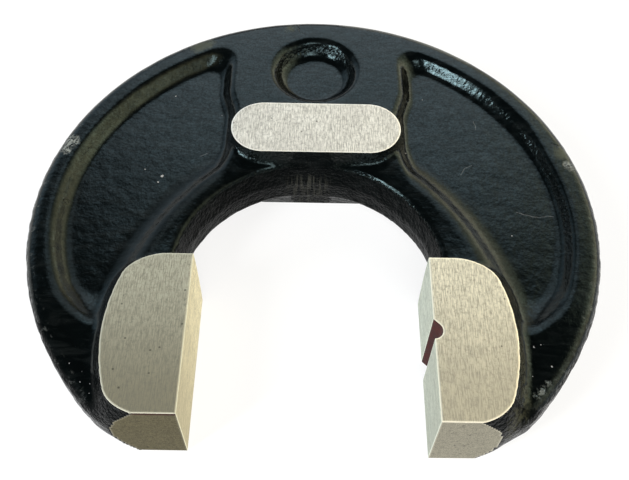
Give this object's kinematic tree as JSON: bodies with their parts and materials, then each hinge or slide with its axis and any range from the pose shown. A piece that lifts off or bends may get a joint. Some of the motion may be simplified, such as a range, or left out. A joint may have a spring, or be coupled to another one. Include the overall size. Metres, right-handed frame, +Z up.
{
  "type": "snap gauge",
  "caption": "Fixed single-ended snap gauge: forged C-shaped frame with ground jaws, a grooved measuring face, recessed arms, a label pad and a finger recess.",
  "frame": {"origin": "centre of the outline on the plane that the lower ground faces rest on", "axes": "+Z up through the thickness, +X across the gap from the left jaw to the right jaw, -Y out of the open end of the gap"},
  "size_m": [0.1022, 0.0908, 0.016],
  "materials": {
    "enamel": "glossy blue-black enamel over forged steel, worn at the rims",
    "ground_steel": "flat ground steel with fine grinding lines on the jaws, front ends and label pad",
    "groove_paint": "dark red paint in the relief groove of one measuring face"
  },
  "bodies": {
    "root": {"gauge_frame": "enamel"}
  },
  "joints": []
}
